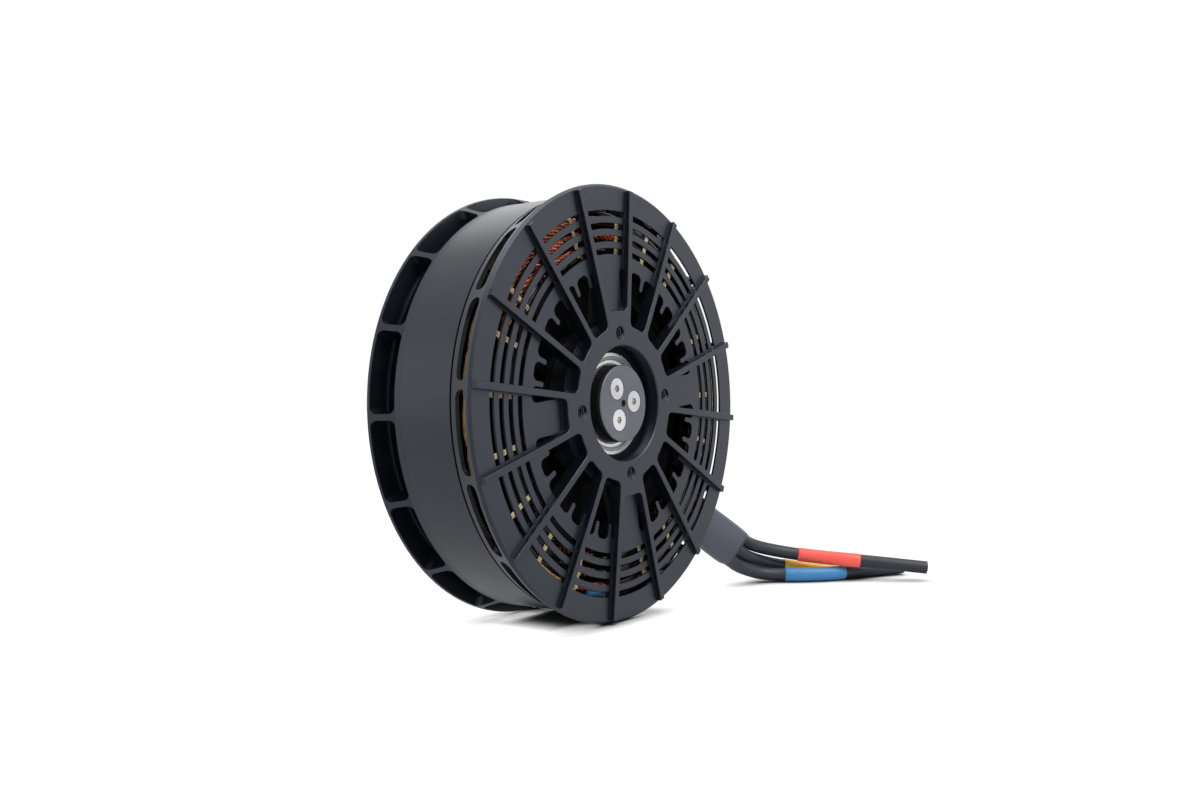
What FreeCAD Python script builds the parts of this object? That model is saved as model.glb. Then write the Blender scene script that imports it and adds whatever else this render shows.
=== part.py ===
import FreeCAD, Part
import math
import os
from FreeCAD import Vector

# Outrunner brushless motor, millimetres.
# The motor axis is Y. The mounting face of the base is the plane y = 0 and faces -Y,
# the body stands behind it towards +Y, and +Z is up. Angles run from +X towards +Z.

past = 1.0                  # how far a cutting tool runs past the material
sink = 0.5                  # how far shapes that are joined run into each other

# Base plate: hub, ribs, slotted disc and conical skirt, machined in one piece
rim_r = 100.0               # outer radius of the base plate
plate_y = 3.4               # front face of the disc, behind the mounting face
plate_t = 1.0               # the disc between the openings and the rim
rim_rear_y = 6.4            # the ribs and the rim reach further back than the disc
rim_ledge = 8.0             # width of the thick rim
rim_ledge_taper = 1.0
rim_chamfer = 1.1
rib_count = 16
rib_first_deg = 17.45
rib_w = 2.9
rib_end_inset = 1.3         # from the rim to the outer end of a rib
rib_flat_r = 44.0           # the ribs are level with the hub up to here, then slope
rib_tip_rise = 2.2          # height of a rib above the disc at its outer end
rib_edge = 0.25             # chamfer along the tops of the ribs and the hub
hub_r = 35.7
hub_lobe_r = 42.5           # the hub reaches further out around each mounting hole
hub_corner = 3.0
hub_depth = 14.0
hub_boss_r = 38.0           # the hub behind the ribs
hub_bore_r = 26.5
bore_chamfer = 0.5

# Base mounting holes, M6
mount_count = 4
mount_first_deg = 6.2
mount_circle_r = 32.35
mount_hole_r = 3.0
hole_chamfer = 0.3

# Air openings of the base: one spoke per mounting hole, and small cooling fingers
opening_r = 62.3
spoke_w = 15.0
finger_count = 36
finger_w = 2.3
finger_len = 7.1            # from the edge of the opening to a finger's tip
finger_root = 2.7
slot_rows = 4
slot_rim_land = 11.6        # from the rim to the outermost row of slots
slot_inner_land = 6.05      # from the innermost row to the opening
slot_share = 0.487          # width of a slot as a share of the pitch of the rows
slot_land = 0.6             # solid strip between a rib and the end of a slot

# Skirt of the base
skirt_taper = 4.0           # the skirt ends this much inside the rim
skirt_end_y = 17.2
skirt_wall = 2.2
skirt_window_y1 = 13.8
skirt_web_w = 3.7
skirt_window_corner = 3.3
outlet_deg = -38.8          # where the motor leads come out
outlet_w = 25.0
outlet_y1 = 15.35

# Stator carrier: bearing tube, clamping flange and spider, in one piece
nose_y = 7.4                # front end of the bearing tube, inside the hub bore
fit_gap = 0.05              # radial gap between parts that slide together
flange_t = 6.0
tube_wall = 4.0
tube_end_y = 45.8
bearing_stop_r = 21.0       # shoulder between the two bearing seats
spider_w = 3.0
spider_y0 = 23.0
spider_y1 = 40.0
carrier_ring_w = 5.0
carrier_screw_count = 8
carrier_screw_circle_r = 31.1
carrier_screw_r = 2.0
carrier_head_r = 3.5
carrier_head_h = 4.0

# Bearings, 30 x 47 x 9
bearing_bore_r = 15.0
bearing_outer_r = 23.5
bearing_w = 9.0
front_bearing_y = 7.8
rear_bearing_y = 36.2
ball_r = 2.5
ball_count = 12
ball_gap = 0.05             # ball to groove, and ball to cage pocket
race_land = 1.7             # half the gap between the two rings
cage_t = 1.1
cage_w = 6.4
shield_t = 0.4
shield_inset = 0.4
shield_seat = 0.8
shield_gap = 0.3
preload_washer_t = 0.6
preload_washer_gap = 0.1

# Stator core and windings
tooth_count = 36
core_outer_r = 88.7
core_y0 = 18.4
core_len = 26.6
core_ring_w = 4.4
core_ring_gap = 0.5         # from the ring of the core to the coils
tooth_w = 6.2
tooth_tip_t = 1.4
tooth_lip_t = 1.2
slot_mouth = 2.6
insulator_t = 0.8
insulator_side = 0.1        # the insulator is this much narrower on each side of a tooth
insulator_tip = 0.5
coil_w = 2.6                # thickness of one coil side
coil_gap = 0.1              # coil to tooth
coil_front = 4.6            # how far the end turns stand out at the front
coil_rear = 4.7
coil_r0 = 67.5
coil_r1 = 85.1
coil_corner = 3.0
phases = ("a", "b", "c")
link_inset = 1.0            # from the outer end of the coils to the outermost bundle's circle
link_pitch = 6.5            # between the circles of the three connection bundles
link_w = 4.6
link_t = 4.4
link_chamfer = 1.2
link_gap_deg = 4.0
link_gap_first = 14.0       # from the lead outlet to the end of the first gap
link_gap_step = 6.0
tie_w = 1.2
tie_t = 0.7
tie_gap = 0.2
tie_every = 2               # the front ties hold every second coil
rear_tie_gap = 0.1

# Rotor
ring_r = 96.0
ring_wall = 3.0
ring_y0 = 18.1
ring_y1 = 47.0
magnet_count = 42
magnet_w = 11.5
magnet_t = 3.2
magnet_inset = 0.9          # from the front edge of the ring to the magnets
magnet_len = 26.0
bell_lip_r = 91.2
bell_lip_len = 1.4
bell_flare_y = 49.5         # the outside widens from here to the rear
bell_band_y = 49.9          # front edge of the rotor windows
bell_window_y1 = 60.9
bell_end_y = 62.1
bell_rim_r = 100.3
bell_rim_taper = 0.3
bell_wall = 4.8             # thickness of the windowed wall at its rear edge
bell_disc_taper_w = 9.0     # the disc thins over this width towards the wall
bell_disc_t = 3.1
bell_web_w = 2.8
bell_window_corner = 2.8
bell_first_deg = 2.4
bell_hub_r = 38.0
bell_hub_t = 11.1
bell_opening_r0 = 44.0
bell_opening_r1 = 70.0
bell_spoke_w = 5.0
bell_opening_corner = 3.0
vane_r0 = 72.0
vane_h = 4.5
vane_nose = 1.5
vane_step = 2.0             # from the wall's inside to the outer edge of a vane's foot

# Propeller mounting holes, M6
prop_count = 8
prop_circle_r = 30.0
prop_hole_r = 3.0

# Shaft, cap and their screws
shaft_gap = 0.02
shaft_front_y = 8.0
shaft_flange_r = 25.0
shaft_flange_t = 4.0
shaft_boss_r = 17.4         # shoulder behind the rear bearing
shaft_bore_r = 5.0
shaft_bore_y0 = 22.0
shaft_end_inset = 0.6
spacer_wall = 2.6
cap_r = 17.7
cap_y0 = 1.3
cap_chamfer = 0.35
cap_hole_r = 1.7
cap_screw_count = 3
cap_screw_circle_r = 8.3
cap_screw_first_deg = 6.0
cap_screw_head_r = 5.0
cap_screw_r = 2.5
cap_screw_len = 14.0
hex_key = 3.0
hex_depth = 2.2
bell_screw_count = 6
bell_screw_circle_r = 19.8
bell_screw_r = 2.5
bell_screw_head_r = 4.25
bell_screw_head_h = 5.0
bell_hex_key = 4.0
counterbore_gap = 0.2
counterbore_depth = 5.4

# Phase leads: a flat shrink sleeve, three silicone leads, three colour markers
lead_r = 3.5
lead_y = 10.9
lead_spacing = 7.3
marker_t = 0.3
marker_len = 34.0
marker_start = {"red": 94.7, "yellow": 95.0, "blue": 91.5}   # along each lead
sleeve_wall = 0.55
sleeve_gap = 0.2
sleeve_start_r = 90.5
sleeve_bend_r = 112.0
sleeve_end = (117.2, -82.3)
sleeve_slant = 7.0          # how far the cut end leans over half the sleeve's width
tail_r = 2.0
tail_start_r = 80.0
tail_end_r = 87.9

red_route = [
    (73.2, 10.9, -49.4), (91.0, 10.9, -63.8), (131.4, 10.9, -80.2), (149.0, -1.5, -85.4),
    (158.5, -22.5, -88.0), (168.7, -41.4, -89.6), (184.8, -68.6, -93.1)]
yellow_route = [
    (68.6, 10.9, -55.1), (87.3, 10.9, -70.2), (125.1, 10.9, -85.6), (145.0, 7.4, -91.5),
    (158.0, -4.2, -94.8), (169.0, -20.5, -96.3), (184.0, -29.5, -96.3), (196.0, -35.1, -96.3)]
blue_route = [
    (64.0, 10.9, -60.8), (83.6, 10.9, -76.6), (118.6, 10.9, -90.7), (134.2, 5.2, -96.1),
    (145.0, -11.8, -96.3), (158.5, -25.6, -96.3), (178.5, -35.7, -96.3), (200.0, -47.9, -96.3)]

AXIS = Vector(0, 1, 0)
ORIGIN = Vector(0, 0, 0)
rib_pitch = 360.0 / rib_count
rib_end_r = rim_r - rib_end_inset
plate_rear_y = plate_y + plate_t
rim_inner_r = rim_r - rim_ledge
slot_outer_r = rim_r - slot_rim_land
slot_pitch = (slot_outer_r - opening_r - slot_inner_land) / (slot_rows - 1 + slot_share)
slot_w = slot_share * slot_pitch
skirt_end_r = rim_r - skirt_taper
skirt_window_y0 = rim_rear_y
link_r = [coil_r1 - link_inset - link_pitch * k for k in (2, 1, 0)]


def at(r, deg, y=0.0):
    a = math.radians(deg)
    return Vector(r * math.cos(a), y, r * math.sin(a))


def turn(shape, deg):
    """A copy of the shape, turned about the motor axis."""
    out = shape.copy()
    out.rotate(ORIGIN, Vector(0, -1, 0), deg)
    return out


def around(shape, count, first_deg=0.0):
    return [turn(shape, first_deg + i * 360.0 / count) for i in range(count)]


def disc(r, y0, y1):
    return Part.makeCylinder(r, y1 - y0, Vector(0, y0, 0), AXIS)


def ring(r_in, r_out, y0, y1):
    return disc(r_out, y0, y1).cut(disc(r_in, y0 - past, y1 + past))


def turned(points):
    """A solid of revolution from a closed (radius, y) profile."""
    corners = [Vector(r, y, 0) for r, y in points]
    return Part.Face(Part.makePolygon(corners + corners[:1])).revolve(ORIGIN, AXIS, 360)


def rod(r, start, end):
    run = end - start
    return Part.makeCylinder(r, run.Length, start, run)


def arc(start, mid, end):
    return Part.Arc(start, mid, end).toShape()


def line(start, end):
    return Part.LineSegment(start, end).toShape()


def prism(edges, y0, y1):
    face = Part.Face(Part.Wire(edges))
    face.translate(Vector(0, y0, 0))
    return face.extrude(Vector(0, y1 - y0, 0))


def fuse(shapes):
    return shapes[0].multiFuse(shapes[1:]).removeSplitter()


def sector(r_in, r_out, side, pitch, corner_in, corner_out, y0, y1):
    """The space between two radial bars, cut off by two circles about the axis."""
    def corner(r, fillet, sign):
        if not fillet:
            return [Vector(math.sqrt(r * r - side * side), 0, side)]
        centre_r = r - sign * fillet
        c = Vector(math.sqrt(centre_r ** 2 - (side + fillet) ** 2), 0, side + fillet)
        out = c * (1 / centre_r)
        on_side = Vector(c.x, 0, side)
        on_circle = c + out * (sign * fillet)
        lean = Vector(out.x * sign, 0, out.z * sign - 1)
        mid = c + lean * (fillet / lean.Length)
        return [on_side, mid, on_circle]

    def mirrored(p):
        r = math.hypot(p.x, p.z)
        return at(r, pitch - math.degrees(math.atan2(p.z, p.x)))

    inner = corner(r_in, corner_in, -1)
    outer = corner(r_out, corner_out, 1)
    inner_m = [mirrored(p) for p in inner]
    outer_m = [mirrored(p) for p in outer]
    edges = [line(inner[0], outer[0]), arc(outer[-1], at(r_out, pitch / 2), outer_m[-1]),
             line(outer_m[0], inner_m[0]), arc(inner_m[-1], at(r_in, pitch / 2), inner[-1])]
    for group in (inner, outer, inner_m, outer_m):
        if len(group) == 3:
            edges.append(arc(*group))
    return prism(Part.__sortEdges__(edges), y0, y1)


def tongue(w, r_tip, r_root, fillet, y0, y1, round_tip):
    """A radial bar that grows inwards from a round opening, filleted at its root."""
    h = w / 2
    x = math.sqrt((r_root - fillet) ** 2 - (h + fillet) ** 2)
    out = Vector(x, 0, h + fillet) * (1 / (r_root - fillet))
    centre = Vector(x, 0, h + fillet)
    on_circle = centre + out * fillet
    lean = Vector(out.x, 0, out.z - 1)
    mid = centre + lean * (fillet / lean.Length)
    half = [on_circle, mid, Vector(x, 0, h)]
    half_m = [Vector(p.x, 0, -p.z) for p in half]
    back = [Vector(r_root + sink, 0, on_circle.z), Vector(r_root + sink, 0, -on_circle.z)]
    start = r_tip + h if round_tip else r_tip
    side = Vector(start, 0, h)
    side_m = Vector(start, 0, -h)
    tip = arc(side, Vector(r_tip, 0, 0), side_m) if round_tip else line(side, side_m)
    edges = [arc(*half), line(half[2], side), tip, line(side_m, half_m[2]), arc(*reversed(half_m)),
             line(half_m[0], back[1]), line(back[1], back[0]), line(back[0], on_circle)]
    return prism(edges, y0, y1)


def round_corners(block, corner):
    """Rounds the edges of a window's cutting block that run outwards through the wall."""
    outward = []
    for edge in block.Edges:
        middle = edge.valueAt((edge.FirstParameter + edge.LastParameter) / 2)
        away = Vector(middle.x, 0, middle.z).normalize()
        if abs(edge.tangentAt(edge.FirstParameter).dot(away)) > 0.7:
            outward.append(edge)
    return block.makeFillet(corner, outward)


def wall_window(web_w, y0, y1, corner, wall_in, wall_out):
    """Cuts a round wall between two webs of even thickness, a rib pitch apart."""
    block = sector(wall_in - past, wall_out + past, web_w / 2, rib_pitch, 0, 0, y0, y1)
    return round_corners(block, corner)


def hex_pocket(across, depth, top):
    """A six-sided socket that opens at the plane y = top and goes towards +Y."""
    r = across / math.sqrt(3)
    corners = [at(r, 60 * i) for i in range(7)]
    edges = [line(p, q) for p, q in zip(corners, corners[1:])]
    return prism(edges, top, top + depth)


def write(name, shape):
    solids = shape if isinstance(shape, list) else [shape]
    flat = [s for item in solids for s in item.Solids]
    bad = [s for s in flat if not s.isValid()]
    out = flat[0] if len(flat) == 1 else Part.makeCompound(flat)
    out.exportStep("parts/" + name + ".step")
    volume = sum(s.Volume for s in flat)
    print(f"{name:26s} solids {len(flat):3d}  volume {volume:10.1f}{'  INVALID' if bad else ''}")


def mount_holes(circle_r, count, first_deg, r, y0, y1):
    """Round holes on a circle with a small chamfer at the y0 mouth."""
    hole = disc(r, y0 - past, y1)
    mouth = Part.makeCone(r + hole_chamfer, r, hole_chamfer, Vector(0, y0, 0), AXIS)
    tool = hole.fuse(mouth)
    tool.translate(Vector(circle_r, 0, 0))
    return around(tool, count, first_deg)


def top_edges(spider):
    """The edges around the tops of the ribs and the hub, without the line where a rib starts to slope."""
    found = []
    for edge in spider.Edges:
        ends = [v.Point for v in edge.Vertexes]
        if len(ends) < 2 or max(p.y for p in ends) > plate_y - rim_chamfer:
            continue
        if all(abs(math.hypot(p.x, p.z) - rib_flat_r) < fit_gap for p in ends):
            continue
        found.append(edge)
    return found


def base_plate():
    rib_half = rib_w / 2
    open_pocket, lobe_pocket = [
        sector(r, rim_r + past, rib_half, rib_pitch, hub_corner, 0, -past, rim_rear_y + past)
        for r in (hub_r, hub_lobe_r)]
    pockets = []
    for i in range(rib_count):
        start = rib_first_deg + i * rib_pitch
        middle = start + rib_pitch / 2
        offset = (middle - mount_first_deg + 45) % 90 - 45
        at_mount = abs(offset) < rib_pitch / 2
        pockets.append(turn(lobe_pocket if at_mount else open_pocket, start))
    tip_y = plate_y - rib_tip_rise
    slope = turned([(rib_flat_r, 0), (rib_end_r, tip_y), (rib_end_r + past, tip_y),
                    (rib_end_r + past, -past), (rib_flat_r, -past)])
    spider = disc(rib_end_r, 0, rim_rear_y).cut(pockets + [slope])
    spider = spider.makeChamfer(rib_edge, top_edges(spider))

    edge_y = plate_y + rim_chamfer
    disc_part = turned([(opening_r, plate_y), (rim_r - rim_chamfer, plate_y), (rim_r, edge_y),
                        (rim_r - (rim_rear_y - edge_y) * cone_slope(), rim_rear_y),
                        (rim_inner_r + rim_ledge_taper, rim_rear_y), (rim_inner_r, plate_rear_y),
                        (opening_r, plate_rear_y)])
    spoke = tongue(spoke_w, (hub_bore_r + hub_r) / 2, opening_r, finger_root, plate_y, plate_rear_y, False)
    spokes = around(spoke, mount_count, mount_first_deg)
    finger = tongue(finger_w, opening_r - finger_len, opening_r, finger_root, plate_y, plate_rear_y, True)
    per_gap = finger_count // mount_count
    step = 360.0 / finger_count
    fingers = [turn(finger, mount_first_deg + q * 90 + (k + 0.5) * step)
               for q in range(mount_count) for k in range(1, per_gap - 1)]
    boss = disc(hub_boss_r, rim_rear_y - sink, hub_depth)
    body = fuse([spider, disc_part, boss, skirt()] + spokes + fingers)

    slots = []
    side = rib_w / 2 + slot_land
    for row in range(slot_rows):
        r = slot_outer_r - row * slot_pitch
        one = sector(r - slot_w, r, side, rib_pitch, 0, 0, plate_y - past, plate_rear_y + past)
        slots += around(one, rib_count, rib_first_deg)
    bore = disc(hub_bore_r, -past, hub_depth + past)
    bore_edge = Part.makeCone(hub_bore_r + bore_chamfer, hub_bore_r, bore_chamfer, ORIGIN, AXIS)
    holes = mount_holes(mount_circle_r, mount_count, mount_first_deg, mount_hole_r, 0, hub_depth + past)
    screws = [carrier_screw_place(disc(carrier_screw_r, rim_rear_y, hub_depth + past), i)
              for i in range(carrier_screw_count)]
    return body.cut(slots + [bore, bore_edge] + holes + screws)


def cone_slope():
    return (rim_r - skirt_end_r) / (skirt_end_y - plate_y - rim_chamfer)


def skirt():
    start_y = rim_rear_y - sink
    start_r = rim_r - (start_y - plate_y - rim_chamfer) * cone_slope()
    wall = turned([(start_r, start_y), (skirt_end_r, skirt_end_y),
                   (skirt_end_r - skirt_wall, skirt_end_y), (start_r - skirt_wall, start_y)])
    inside_r = skirt_end_r - skirt_wall
    window = wall_window(skirt_web_w, skirt_window_y0, skirt_window_y1, skirt_window_corner, inside_r, rim_r)
    windows = around(window, rib_count, rib_first_deg)
    start_x = math.sqrt(inside_r ** 2 - (outlet_w / 2) ** 2) - past
    outlet = Part.makeBox(rim_r + past - start_x, outlet_y1 - skirt_window_y0, outlet_w,
                          Vector(start_x, skirt_window_y0, -outlet_w / 2))
    return wall.cut(windows + [turn(round_corners(outlet, skirt_window_corner), outlet_deg)])


def carrier_screw_place(shape, i):
    """Clamping screws sit halfway between the mounting holes and beside them."""
    tool = shape.copy()
    tool.translate(Vector(carrier_screw_circle_r, 0, 0))
    pair = 360.0 / carrier_screw_count
    return turn(tool, mount_first_deg + pair / 2 + i * pair)


def stator_carrier():
    flange_y1 = hub_depth + flange_t
    tube_r = bearing_outer_r + tube_wall
    nose_r = hub_bore_r - fit_gap
    ring_out = core_bore_r() - fit_gap
    front_seat_end = front_bearing_y + bearing_w
    rear_seat_start = rear_bearing_y - preload_washer_t
    body = turned([
        (bearing_outer_r, nose_y), (nose_r, nose_y), (nose_r, hub_depth), (hub_r, hub_depth),
        (hub_r, flange_y1), (tube_r, flange_y1), (tube_r, tube_end_y), (bearing_outer_r, tube_end_y),
        (bearing_outer_r, rear_seat_start), (bearing_stop_r, rear_seat_start),
        (bearing_stop_r, front_seat_end), (bearing_outer_r, front_seat_end)])
    hoop = ring(ring_out - carrier_ring_w, ring_out, core_y0, core_y0 + core_len)
    arm_start = tube_r - sink
    arm = Part.makeBox(ring_out - carrier_ring_w / 2 - arm_start, spider_y1 - spider_y0, spider_w,
                       Vector(arm_start, spider_y0, -spider_w / 2))
    arms = around(arm, rib_count, rib_first_deg)
    screws = [carrier_screw_place(disc(carrier_screw_r, hub_depth - past, flange_y1 + past), i)
              for i in range(carrier_screw_count)]
    return fuse([body, hoop] + arms).cut(screws)


def carrier_screws():
    top = hub_depth + flange_t
    shank = disc(carrier_screw_r, rim_rear_y + past, top)
    head = disc(carrier_head_r, top, top + carrier_head_h)
    socket = hex_pocket(hex_key, hex_depth, top + carrier_head_h - hex_depth)
    one = shank.fuse(head).cut(socket)
    return [carrier_screw_place(one, i) for i in range(carrier_screw_count)]


def core_bore_r():
    """The coils start just outside the ring of the core."""
    return coil_r0 - core_ring_gap - core_ring_w


def tooth_outline(ring_in, body_w, tip, y0, y1, outer_r):
    """One tooth with its share of the ring, centred on +X."""
    half = body_w / 2
    pitch = 360.0 / tooth_count
    ring_r_out = ring_in + core_ring_w
    foot = math.sqrt(ring_r_out ** 2 - half ** 2)
    edge = half
    points = [at(ring_in, -pitch / 2), at(ring_r_out, -pitch / 2), Vector(foot, 0, -half)]
    if tip:
        edge = outer_r * math.sin(math.radians(pitch / 2)) - slot_mouth / 2
        shoulder = outer_r - tooth_tip_t - tooth_lip_t
        lip = outer_r - tooth_lip_t
        points += [Vector(shoulder, 0, -half), Vector(lip, 0, -edge)]
    far = math.sqrt(outer_r ** 2 - edge ** 2)
    points.append(Vector(far, 0, -edge))
    mirror = [Vector(p.x, 0, -p.z) for p in reversed(points)]
    edges = [line(p, q) for p, q in zip(points, points[1:])]
    edges.append(arc(points[-1], Vector(outer_r, 0, 0), mirror[0]))
    edges += [line(p, q) for p, q in zip(mirror, mirror[1:])]
    edges.append(arc(mirror[-1], Vector(ring_in, 0, 0), points[0]))
    return prism(edges, y0, y1)


def star(body_w, tip, y0, y1, outer_r):
    tooth = tooth_outline(core_bore_r(), body_w, tip, y0, y1, outer_r)
    return fuse(around(tooth, tooth_count, mount_first_deg))


def end_insulator(y0):
    """A plain star that covers one end face of the core under the coils."""
    return star(tooth_w - 2 * insulator_side, False, y0, y0 + insulator_t, core_outer_r - insulator_tip)


def coil():
    """One coil around the tooth on +X: a rounded loop, wound radially along the tooth."""
    y0 = core_y0 - insulator_t - coil_front
    y1 = core_y0 + core_len + insulator_t + coil_rear
    inner_half = tooth_w / 2 + coil_gap
    outer_half = inner_half + coil_w
    outer = Part.makeBox(coil_r1 - coil_r0, y1 - y0, 2 * outer_half, Vector(coil_r0, y0, -outer_half))
    radial = [e for e in outer.Edges if abs(e.tangentAt(e.FirstParameter).x) > 0.99]
    outer = outer.makeChamfer(coil_corner, radial)
    eye_y0 = core_y0 - insulator_t - coil_gap
    eye_y1 = core_y0 + core_len + insulator_t + coil_gap
    eye = Part.makeBox(coil_r1 - coil_r0 + 2 * past, eye_y1 - eye_y0, 2 * inner_half,
                       Vector(coil_r0 - past, eye_y0, -inner_half))
    return outer.cut(eye)


def phase_coils(k):
    """Every third coil belongs to the same phase."""
    one = coil()
    step = 360.0 / tooth_count
    return [turn(one, mount_first_deg + (i * len(phases) + k) * step) for i in range(tooth_count // 3)]


def link_y():
    y1 = core_y0 - insulator_t - coil_front - fit_gap
    return y1 - link_t, y1


def phase_link(k):
    """A bundle of wire that joins the coils of one phase, open where the leads go out."""
    y0, y1 = link_y()
    r0 = link_r[k] - link_w / 2
    r1 = link_r[k] + link_w / 2
    c = link_chamfer
    face = Part.Face(Part.makePolygon([Vector(*p, 0) for p in (
        (r0, y1), (r0, y0 + c), (r0 + c, y0), (r1 - c, y0), (r1, y0 + c), (r1, y1), (r0, y1))]))
    bundle = face.revolve(ORIGIN, Vector(0, -1, 0), 360 - link_gap_deg)
    return turn(bundle, outlet_deg + link_gap_first + link_gap_step * k)


def tie(front):
    """A lacing cord over the end turns of one coil, standing on the insulator at both ends."""
    if front:
        foot = core_y0 - insulator_t
        top = link_y()[0]
        sign = -1
    else:
        foot = core_y0 + core_len + insulator_t
        top = foot + coil_rear + rear_tie_gap
        sign = 1
    r_in = coil_r0 - tie_gap
    r_out = (link_r[-1] + link_w / 2 if front else coil_r1) + tie_gap
    low = [(r_in - tie_t, foot), (r_in, foot), (r_in, top), (r_out, top), (r_out, foot),
           (r_out + tie_t, foot), (r_out + tie_t, top + sign * tie_t), (r_in - tie_t, top + sign * tie_t)]
    corners = [Vector(r, y, -tie_w / 2) for r, y in low]
    face = Part.Face(Part.makePolygon(corners + corners[:1]))
    return face.extrude(Vector(0, 0, tie_w))


def lacing(front):
    """The ties next to the lead outlet are left out, because the leads pass there."""
    step = 360.0 / tooth_count
    one = tie(front)
    every = tie_every if front else 1
    angles = [mount_first_deg + i * step for i in range(0, tooth_count, every)]
    if front:
        angles = [a for a in angles if abs((a - outlet_deg + 180) % 360 - 180) > 0.9 * step]
    return [turn(one, a) for a in angles]


def bearing(y0):
    """Outer ring, inner ring, balls, cage and the two shields of one ball bearing."""
    y1 = y0 + bearing_w
    mid_y = (y0 + y1) / 2
    mid_r = (bearing_bore_r + bearing_outer_r) / 2
    shoulder_out = mid_r + race_land
    shoulder_in = mid_r - race_land
    groove = Part.makeTorus(mid_r, ball_r + ball_gap, Vector(0, mid_y, 0), AXIS)
    seat_r = shoulder_out + shield_seat
    seat_d = shield_inset + shield_t
    seats = [disc(seat_r, y0 - past, y0 + seat_d), disc(seat_r, y1 - seat_d, y1 + past)]
    outer = ring(shoulder_out, bearing_outer_r, y0, y1).cut([groove] + seats)
    inner = ring(bearing_bore_r, shoulder_in, y0, y1).cut(groove)
    reach = Vector(2 * cage_t, 0, 0)
    centre = Vector(mid_r, mid_y, 0)
    pocket = rod(ball_r + ball_gap, centre - reach, centre + reach)
    cage = ring(mid_r - cage_t / 2, mid_r + cage_t / 2, mid_y - cage_w / 2, mid_y + cage_w / 2)
    cage = cage.cut(around(pocket, ball_count))
    balls = around(Part.makeSphere(ball_r, centre, AXIS), ball_count)
    inner_edge = shoulder_in + shield_gap
    shields = [ring(inner_edge, seat_r, y0 + shield_inset, y0 + seat_d),
               ring(inner_edge, seat_r, y1 - seat_d, y1 - shield_inset)]
    return {"outer_ring": outer, "inner_ring": inner, "balls": balls, "cage": cage, "shields": shields}


def rotor_magnets():
    bore = ring_r - ring_wall
    face_r = math.sqrt(bore ** 2 - (magnet_w / 2) ** 2) - fit_gap
    y0 = ring_y0 + magnet_inset
    one = Part.makeBox(magnet_t, magnet_len, magnet_w, Vector(face_r - magnet_t, y0, -magnet_w / 2))
    return around(one, magnet_count)


def rotor_bell():
    bore = ring_r - ring_wall - fit_gap
    disc_y = bell_end_y - bell_disc_t
    hub_y = bell_end_y - bell_hub_t
    shaft_r = bearing_bore_r + shaft_gap
    wall_r = bell_rim_r - bell_wall
    body = turned([
        (shaft_r, hub_y), (bell_hub_r, hub_y), (bell_hub_r, disc_y), (wall_r - bell_disc_taper_w, disc_y),
        (wall_r, bell_window_y1), (bell_lip_r, bell_band_y), (bell_lip_r, ring_y1 - bell_lip_len),
        (bore, ring_y1 - bell_lip_len), (bore, ring_y1), (ring_r, ring_y1), (ring_r, bell_flare_y),
        (bell_rim_r - bell_rim_taper, bell_window_y1), (bell_rim_r, bell_end_y), (shaft_r, bell_end_y)])
    vane_face = Part.Face(Part.makePolygon([Vector(r, y, -bell_web_w / 2) for r, y in (
        (vane_r0, disc_y + sink), (vane_r0 + vane_h, disc_y - vane_h),
        (bell_lip_r - vane_nose, disc_y - vane_h), (bell_lip_r, bell_band_y),
        (wall_r - vane_step, bell_band_y), (wall_r, bell_window_y1), (vane_r0, disc_y + sink))]))
    vane = vane_face.extrude(Vector(0, 0, bell_web_w))
    window = wall_window(bell_web_w, bell_band_y, bell_window_y1, bell_window_corner, bell_lip_r, bell_rim_r)
    windows = around(window, rib_count, bell_first_deg)
    opening = sector(bell_opening_r0, bell_opening_r1, bell_spoke_w / 2, rib_pitch, bell_opening_corner,
                     bell_opening_corner, disc_y - past, bell_end_y + past)
    body = body.cut(windows + around(opening, rib_count, bell_first_deg))
    body = fuse([body] + around(vane, rib_count, bell_first_deg))
    hole = moved_x(disc(prop_hole_r, hub_y - past, bell_end_y + past), prop_circle_r)
    holes = around(hole, prop_count, bell_first_deg)
    screws = [bell_screw_place(tool, i) for i in range(bell_screw_count) for tool in (
        disc(bell_screw_r, hub_y - past, bell_end_y),
        disc(bell_screw_head_r + counterbore_gap, bell_end_y - counterbore_depth, bell_end_y + past))]
    return body.cut(holes + screws)


def moved_x(shape, x):
    out = shape.copy()
    out.translate(Vector(x, 0, 0))
    return out


def bell_screw_place(shape, i):
    return turn(moved_x(shape, bell_screw_circle_r), bell_first_deg + 360.0 / bell_screw_count * (i + 0.5))


def bell_screws():
    head_y = bell_end_y - counterbore_depth
    flange_y = bell_end_y - bell_hub_t - shaft_flange_t
    top = head_y + bell_screw_head_h
    head = disc(bell_screw_head_r, head_y, top).cut(hex_pocket(bell_hex_key, hex_depth, top - hex_depth))
    one = head.fuse(disc(bell_screw_r, flange_y, head_y))
    return [bell_screw_place(one, i) for i in range(bell_screw_count)]


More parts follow.
